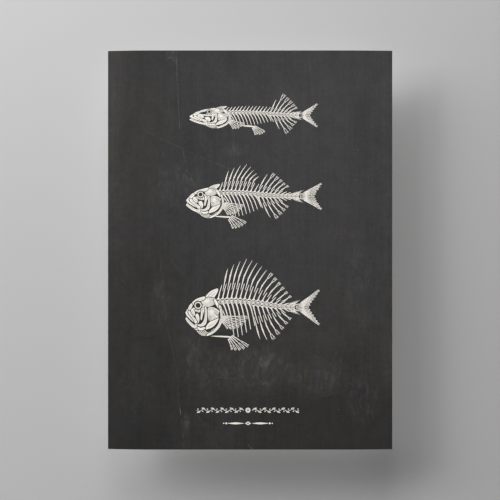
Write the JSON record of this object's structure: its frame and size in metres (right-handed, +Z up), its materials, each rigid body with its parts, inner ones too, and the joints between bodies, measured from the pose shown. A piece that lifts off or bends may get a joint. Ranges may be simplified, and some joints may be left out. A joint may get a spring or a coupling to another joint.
{
  "type": "poster",
  "caption": "Unframed upright wall poster: one heavy matte sheet, printed cream on charcoal, flat in the middle with its two side edges curling back.",
  "frame": {"origin": "centre of the sheet's flat back face", "axes": "+X to the right across the sheet, +Y out of the back towards the wall, +Z up the sheet; the printed face looks along -Y"},
  "size_m": [0.4996, 0.0064, 0.7],
  "materials": {
    "printed_paper": "matte charcoal print on the front with cream line work, bare white paper on the back and edges"
  },
  "bodies": {
    "root": {"sheet": "printed_paper"}
  },
  "joints": []
}
